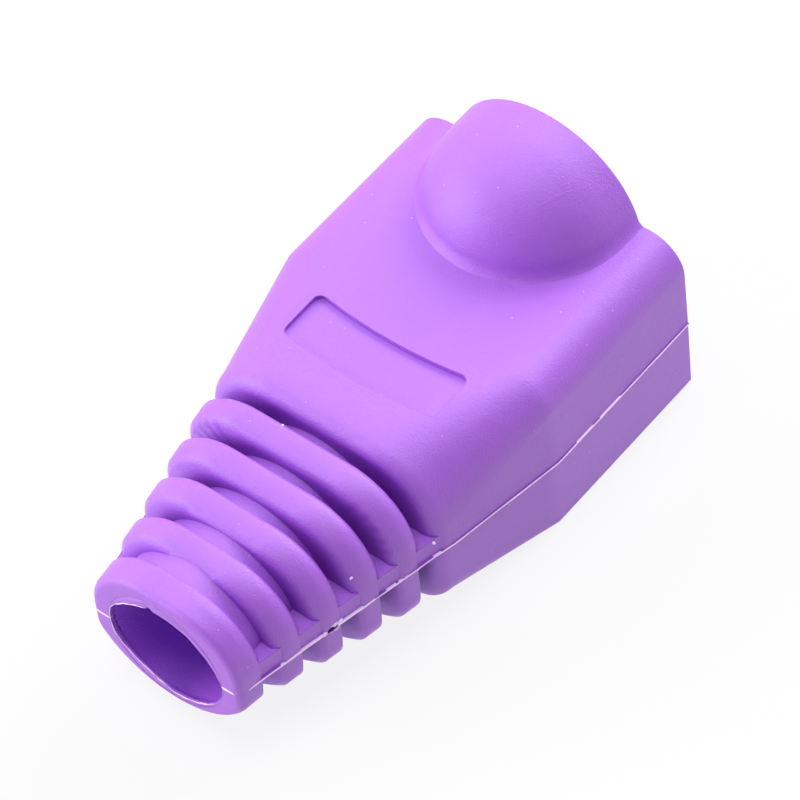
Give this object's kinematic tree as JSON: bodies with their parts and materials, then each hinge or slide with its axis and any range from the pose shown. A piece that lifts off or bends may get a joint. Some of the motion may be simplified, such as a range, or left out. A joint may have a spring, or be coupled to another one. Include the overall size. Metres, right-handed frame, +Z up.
{
  "type": "modular plug strain relief boot",
  "caption": "Soft purple PVC boot that slips over a modular data plug: a ribbed flexible sleeve for the cable, a boxy collar for the plug and a round hood over its latch.",
  "frame": {"origin": "centre of the cable bore on the cable end's face", "axes": "+Y along the bore towards the mouth that takes the plug, +X across, +Z up to the side with the latch hood; the mould's seam lies on z = 0"},
  "size_m": [0.0144, 0.0264, 0.0131],
  "materials": {
    "soft_pvc": "soft flexible PVC, semi-matte, slightly translucent at thin walls"
  },
  "bodies": {
    "root": {"boot": "soft_pvc"}
  },
  "joints": []
}
